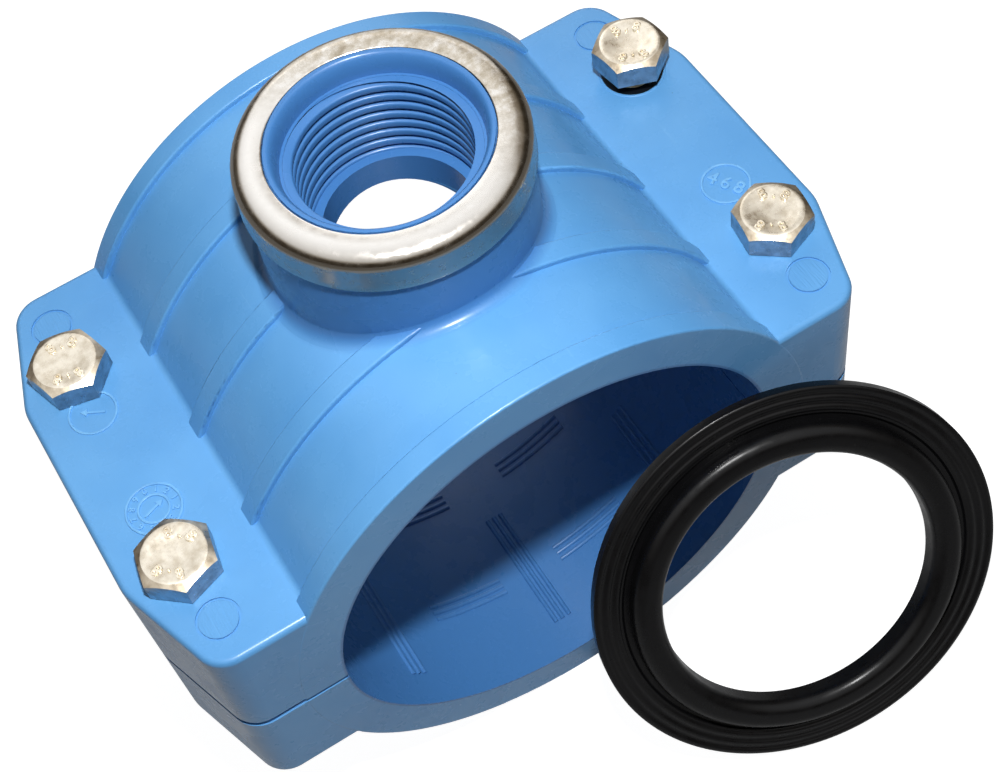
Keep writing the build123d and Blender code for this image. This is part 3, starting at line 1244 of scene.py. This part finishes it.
@dataclass
class MouldMarks:
    """The mould's own marks on the upper flanges: dials, an arrow and plain digits."""

    level: float
    relief: float = 0.30
    line: float = 0.48
    bury: float = 0.05
    steps: int = 72
    dial_place: Band = (-60.0, -10.4)
    dial_radius: float = 5.0
    dial_inner: float = 0.56
    dial_row: float = 0.78
    dial_months: int = 12
    dial_digits: float = 1.7
    dial_arrow: float = 4.3
    dial_turn: float = 20.0
    arrow_place: Band = (-61.0, 13.9)
    arrow_radius: float = 4.4
    arrow_length: float = 4.6
    arrow_turn: float = 150.0
    arrow_bar: float = 0.20
    arrow_barb: float = 0.75
    number_place: Band = (59.7, -10.1)
    number_radius: float = 4.5
    number_digits: float = 3.9
    number_step: float = 2.7
    number_turn: float = -60.0

    def hoop(self, radius: float) -> MeshBuilder:
        """A fine raised circle about the origin.

        Args:
            radius: its middle radius, in millimetres.

        Returns:
            Its builder.
        """
        made = MeshBuilder()
        inner, outer = radius - self.line / 2, radius + self.line / 2
        verts = made.wire([(inner, 0, -self.bury), (inner, 0, self.relief),
                           (outer, 0, self.relief), (outer, 0, -self.bury)])
        made.round_corners(verts[1:3], self.line * 0.35, 2)
        made.lathe(self.steps)
        return made

    def arrow(self, length: float) -> MeshBuilder:
        """A thin raised arrow along X, centred on the origin.

        Args:
            length: its length, in millimetres.

        Returns:
            Its builder.
        """
        half, bar, barb = length / 2, self.arrow_bar, self.arrow_barb
        neck = half * 0.45
        made = MeshBuilder()
        verts = made.wire([
            (x, y, -self.bury) for x, y in ((-half, -bar), (neck, -bar), (neck, -barb), (half, 0),
                                            (neck, barb), (neck, bar), (-half, bar))])
        made.raise_faces([made.bm.faces.new(verts)], self.relief + self.bury)
        return made

    def at(self, place: Band, turn: float = 0.0) -> Matrix:
        """The matrix of a mark's place on the flange, turned by degrees."""
        return moved(*place, self.level) @ turned(turn)

    def build(self, finish: Material) -> Piece:
        """Lays the dial, the arrow mark and the number mark.

        Args:
            finish: the plastic of the marks.

        Returns:
            The marks.
        """
        made = MeshBuilder()
        for radius in (self.dial_radius, self.dial_radius * self.dial_inner):
            made.take(self.hoop(radius), self.at(self.dial_place))
        digits = Digits(self.dial_digits, self.relief * 2, 0.04)
        ring = MeshBuilder()
        for index in range(self.dial_months):
            digits.on_arc(ring, str(index + 1)[-1], self.dial_radius * self.dial_row,
                          -index * 360.0 / self.dial_months, 0, 0)
        ring.take(self.arrow(self.dial_arrow), turned(self.dial_turn))
        made.take(ring, self.at(self.dial_place))
        made.take(self.hoop(self.arrow_radius), self.at(self.arrow_place))
        made.take(self.arrow(self.arrow_length), self.at(self.arrow_place, self.arrow_turn))
        made.take(self.hoop(self.number_radius), self.at(self.number_place))
        digits = Digits(self.number_digits, self.relief * 2, 0.08)
        for index, glyph in enumerate("468", start=-1):
            spot = self.at(self.number_place, self.number_turn) @ moved(index * self.number_step)
            made.take(digits.mould(glyph), spot)
        return made.piece("mould_marks", Body.UPPER.value, Slot.PLASTIC, finish, crease=0.7)


@dataclass
class HexBolt:
    """An M8 bolt: cold-formed head with raised digits, and a rolled thread."""

    across: float = 13.0
    head: float = 5.3
    seat: float = 0.2
    chamfer_radius: float = 5.85
    chamfer_angle: float = 30.0
    shank: float = 50.0
    major: float = 3.93
    minor: float = 3.36
    pitch: float = 1.25
    plain: float = 1.6
    facets: int = 60
    dish: tuple[Band, ...] = ((0.10, 0.05), (0.45, 0.04), (0.60, -0.08), (1.5, -0.22),
                              (0.9, -0.12), (0.8, -0.03))
    flanks: tuple[float, ...] = (0.0, 0.25, 0.5625, 0.6875, 1.0)
    thread_steps: int = 32
    collar_steps: int = 48
    tip_radius: float = 3.1
    tip_facets: int = 24
    digit_height: float = 3.0
    digit_relief: float = 0.50
    digit_soft: float = 0.09
    digit_row: float = 3.95
    digit_spread: float = 30.0

    def head_mesh(self) -> MeshBuilder:
        """Shapes the head: a hexagon, its top corners turned off, its middle dished.

        Returns:
            Its builder, with the turned faces on material 1 and the sides on 4.
        """
        made = MeshBuilder()
        bmesh.ops.create_circle(made.bm, cap_ends=True, segments=6,
                                radius=self.across / math.sqrt(3) * MM)
        made.move(moved(z=self.seat))
        made.raise_faces(made.bm.faces[:], self.head - self.seat)
        made.paint(4, lambda face: abs(face.normal.z) < 0.5)
        slope = math.radians(self.chamfer_angle)
        for x, y in compass(self.facets):
            point = (x * self.chamfer_radius, y * self.chamfer_radius, self.head)
            normal = (x * math.sin(slope), y * math.sin(slope), math.cos(slope))
            for face in made.trim(point, normal):
                face.material_index = 1
        bmesh.ops.recalc_face_normals(made.bm, faces=made.bm.faces[:])
        crown = max(made.bm.faces,
                    key=lambda f: (round(f.calc_center_median().z, 7), f.calc_area()))
        for width, drop in self.dish:
            bmesh.ops.inset_individual(made.bm, faces=[crown], thickness=width * MM,
                                       depth=drop * MM, use_even_offset=True)
        return made

    def shank_mesh(self) -> MeshBuilder:
        """Sweeps the thread down the shank and closes its ends.

        Returns:
            Its builder.
        """
        made = MeshBuilder()
        low = -self.shank - self.pitch
        radii = (self.minor, self.minor, self.major, self.major, self.minor)
        made.wire([(r, 0, low + share * self.pitch) for r, share in zip(radii, self.flanks)],
                  closed=False)
        turns = math.ceil((self.shank + self.pitch - self.plain) / self.pitch)
        made.screw(self.pitch, turns, self.thread_steps)
        made.cut((0, 0, -self.plain), (0, 0, 1))
        made.cut((0, 0, -self.shank), (0, 0, -1))
        slope = math.radians(45)
        for x, y in compass(self.tip_facets):
            point = (x * self.tip_radius, y * self.tip_radius, -self.shank)
            made.cut(point, (x * math.sin(slope), y * math.sin(slope), -math.cos(slope)))
        made.close()
        collar = MeshBuilder()
        neck, end = self.major - 0.02, -self.plain - 0.4
        collar.wire([(0, 0, 0), (neck, 0, 0), (neck, 0, -self.plain + 0.1),
                     (self.minor, 0, end), (0, 0, end)], closed=False)
        collar.lathe(self.collar_steps)
        made.take(collar)
        return made

    def digit_mesh(self) -> MeshBuilder:
        """Sets the raised strength digits on the head, twice.

        Returns:
            Their builder.
        """
        made = MeshBuilder()
        for middle in (0.0, 180.0):
            Digits(self.digit_height, self.digit_relief, self.digit_soft).on_arc(
                made, "8.8", self.digit_row, middle, self.digit_spread, self.head + 0.02)
        return made

    def build(self, corner: Corner, finishes: list[Material]) -> Piece:
        """Makes one bolt in its corner.

        Args:
            corner: the bolt's place.
            finishes: those of the head, its turned corners, the thread, the digits, the sides.

        Returns:
            The bolt, in place of its plain solid.
        """
        node = f"bolt_{corner.label}"
        made = self.head_mesh()
        for index, added in ((2, self.shank_mesh()), (3, self.digit_mesh())):
            added.paint(index, lambda face: True)
            made.take(added)
        low, high = (Vector(corner_point) for corner_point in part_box(node))
        spot = Vector(((low.x + high.x) / 2, (low.y + high.y) / 2, high.z - self.head * MM))
        made.move(Matrix.Translation(spot) @ turned(corner.value + 30))
        bolt = made.piece(f"hex_{node}", node, Slot.BOLT, *finishes, crease=0.45)
        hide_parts(node)
        return bolt


@dataclass
class Studio:
    """A white paper floor, a key lamp, a weak fill from behind, even light, the camera."""

    eye: Point = (-57.938, -184.662, 295.979)
    azimuth: float = -20.524
    elevation: float = 57.548
    roll: float = -12.364
    lens: float = 65.583
    lamp_place: Point = (-20.0, -122.0, 345.0)
    lamp_aim: Point = (0.0, 0.0, 20.0)
    lamp_size: float = 22.0
    lamp_power: float = 1.38
    fill_place: Point = (170.0, 400.0, 210.0)
    fill_size: float = 400.0
    fill_power: float = 0.45
    ambient: float = 0.06
    horizon: float = 0.10
    sky: float = 1.15
    height_band: Band = (0.36, 0.62)
    side_band: Band = (0.54, 0.65)
    side_dim: float = 0.30
    floor_half: float = 3.0
    low_tint: Colour = (0.92, 0.74, 0.52)
    dim_side: Point = (0.8, 0.6, 0.0)

    def camera(self) -> None:
        """Sets the camera at the viewing angle."""
        a, e, r = (math.radians(v) for v in (self.azimuth, self.elevation, self.roll))
        back = Vector((math.sin(a) * math.cos(e), -math.cos(a) * math.cos(e), math.sin(e)))
        level = Vector((math.cos(a), math.sin(a), 0))
        upright = back.cross(level)
        right = level * math.cos(r) + upright * math.sin(r)
        up = upright * math.cos(r) - level * math.sin(r)
        data = bpy.data.cameras.new("view")
        data.lens = self.lens
        data.sensor_width = 36.0
        data.clip_start = 0.01
        made = bpy.data.objects.new("view", data)
        made.matrix_world = Matrix.Translation(Vector(self.eye) * MM) @ Matrix(
            (right, up, back)).transposed().to_4x4()
        bpy.context.collection.objects.link(made)
        bpy.context.scene.camera = made

    def lamp(self, name: str, place: Point, size: float, power: float) -> None:
        """Hangs a soft round lamp.

        Args:
            name: its name.
            place: where it hangs, in millimetres.
            size: its width, in millimetres.
            power: its power in watts.
        """
        data = bpy.data.lights.new(name, "AREA")
        data.shape = "DISK"
        data.size = size * MM
        data.energy = power
        made = bpy.data.objects.new(name, data)
        made.location = Vector(place) * MM
        made.rotation_mode = "QUATERNION"
        aim = Vector(self.lamp_aim) * MM
        made.rotation_quaternion = (aim - made.location).to_track_quat("-Z", "Y")
        bpy.context.collection.objects.link(made)

    def surroundings(self) -> None:
        """Even light from all round; what is mirrored is white above and dark low down."""
        world = bpy.data.worlds.new("studio")
        world.use_nodes = True
        bpy.context.scene.world = world
        nodes = Nodes(world.node_tree)
        path = nodes.add("LightPath").outputs
        way = nodes.add("TexCoord").outputs["Generated"]
        up = nodes.add("SeparateXYZ", Vector=way).outputs["Z"]
        height = nodes.span(up, self.height_band, (self.horizon, self.sky))
        turn = nodes.add("VectorMath", {"operation": "DOT_PRODUCT"})
        nodes.set(turn, 0, way)
        nodes.set(turn, 1, self.dim_side)
        side = nodes.span(turn.outputs["Value"], self.side_band, (1.0, self.side_dim))
        bright = nodes.maths("MULTIPLY", height, side)
        mirrored = nodes.maths("MULTIPLY", bright, path["Is Glossy Ray"])
        seen = nodes.maths("MAXIMUM", path["Is Camera Ray"], path["Is Transmission Ray"])
        level = nodes.maths("MAXIMUM", seen, mirrored)
        level = nodes.maths("MAXIMUM", level, self.ambient)
        pale = nodes.maths("MULTIPLY_ADD", path["Is Glossy Ray"], -1.0, 1.0)
        pale = nodes.maths("MAXIMUM", pale, bright)
        background = world.node_tree.nodes["Background"]
        nodes.set(background, "Color", nodes.mix(pale, self.low_tint, (1.0, 1.0, 1.0)))
        nodes.set(background, "Strength", level)

    def floor(self, level: float) -> None:
        """Lays the paper.

        Args:
            level: its height in metres.
        """
        made = MeshBuilder()
        bmesh.ops.create_grid(made.bm, x_segments=1, y_segments=1, size=self.floor_half,
                              matrix=Matrix.Translation((0, 0, level)))
        mesh = bpy.data.meshes.new("floor")
        made.bm.to_mesh(mesh)
        made.bm.free()
        paper = bpy.data.objects.new("floor", mesh)
        mesh.materials.append(FloorPaper().make())
        bpy.context.collection.objects.link(paper)

    def build(self, floor_level: float) -> None:
        """Sets up camera, light and floor.

        Args:
            floor_level: height of the floor in metres.
        """
        self.camera()
        self.lamp("key_lamp", self.lamp_place, self.lamp_size, self.lamp_power)
        self.lamp("fill_lamp", self.fill_place, self.fill_size, self.fill_power)
        self.surroundings()
        self.floor(floor_level)
        bpy.context.scene.view_settings.view_transform = "Standard"


class TappingSaddle:
    """The whole saddle: dresses the carried-over solids and adds the finer pieces."""

    def __init__(self) -> None:
        """Makes the finishes."""
        self.plastic = SaddlePlastic().make()
        self.mark = MarkPlastic().make()
        self.ring = RingSteel().make()
        # ring_skirt_painted_reflection: a darker copy of the ring's steel, painted dark reflection
        # on the skirt
        self.skirt = RingSteel("ring_skirt_painted_reflection", (0.38, 0.39, 0.38), (0.27, 0.26, 0.23),
                               (0.20, 0.17, 0.12), 0.20, (0.30, 0.30, 0.28)).make()
        self.bolt = [BoltSteel(*look).make() for look in (
            ("bolt_head", (0.84, 0.78, 0.67), (0.62, 0.55, 0.44), 0.27),
            # bolt_corner_painted_reflection and bolt_side_painted_reflection: darker copies of the
            # plating, painted dark reflection
            ("bolt_corner_painted_reflection", (0.66, 0.58, 0.46), (0.40, 0.33, 0.24), 0.30),
            ("bolt_thread", (0.50, 0.38, 0.24), (0.20, 0.14, 0.08), 0.30),
            # bolt_digit_painted_highlight: a brighter copy of the plating, a painted highlight on
            # the raised digits
            ("bolt_digit_painted_highlight", (0.93, 0.86, 0.72), (0.70, 0.60, 0.45), 0.20),
            ("bolt_side_painted_reflection", (0.34, 0.40, 0.46), (0.20, 0.23, 0.26), 0.30))]
        self.nut = BoltSteel("nut_steel", (0.72, 0.68, 0.60), (0.45, 0.40, 0.32), 0.30).make()
        self.rubber = GasketRubber().make()
        # hole_shade: near-black painted shade for the thread's groove and the bolt's well
        self.dark = GasketRubber("hole_shade", (0.004, 0.006, 0.010), (0.01, 0.02, 0.03),
                                 0.6).make()

    def dress(self) -> None:
        """Gives the carried-over solids their finishes."""
        for name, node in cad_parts.items():
            finish = self.nut if name.startswith("nut") else self.plastic
            for slot in node.material_slots:
                slot.material = finish
            LOG.info("%s dressed", name)

    def build(self) -> None:
        """Adds every finer piece."""
        low, high = (Vector(corner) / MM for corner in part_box("reinforcing_ring"))
        ring = PressedRing(outer=high.x, inner=19.15, top=high.z, height=high.z - low.z)
        ring.build(self.ring, self.skirt)
        BranchThread().build(self.plastic, self.dark)
        BranchMouth().build(self.plastic)
        BossFoot().build(self.plastic)
        GasketRing().build(self.rubber)
        GripRidges().build(self.plastic)
        MouldMarks(FLANGE_TOP).build(self.mark)
        # a ring of painted shade round the lifted bolt's hole
        BoltWellPaintedShade().build(Corner.BACK_RIGHT, FLANGE_TOP, self.dark, self.plastic)
        for corner in Corner:
            HexBolt().build(corner, self.bolt)


def main() -> None:
    """Builds the saddle and the studio."""
    logging.basicConfig(level=logging.INFO, format="%(name)s: %(message)s")
    saddle = TappingSaddle()
    saddle.dress()
    saddle.build()
    Studio().build(CAD_BOX[0].z)


if __name__ == "__main__":
    main()
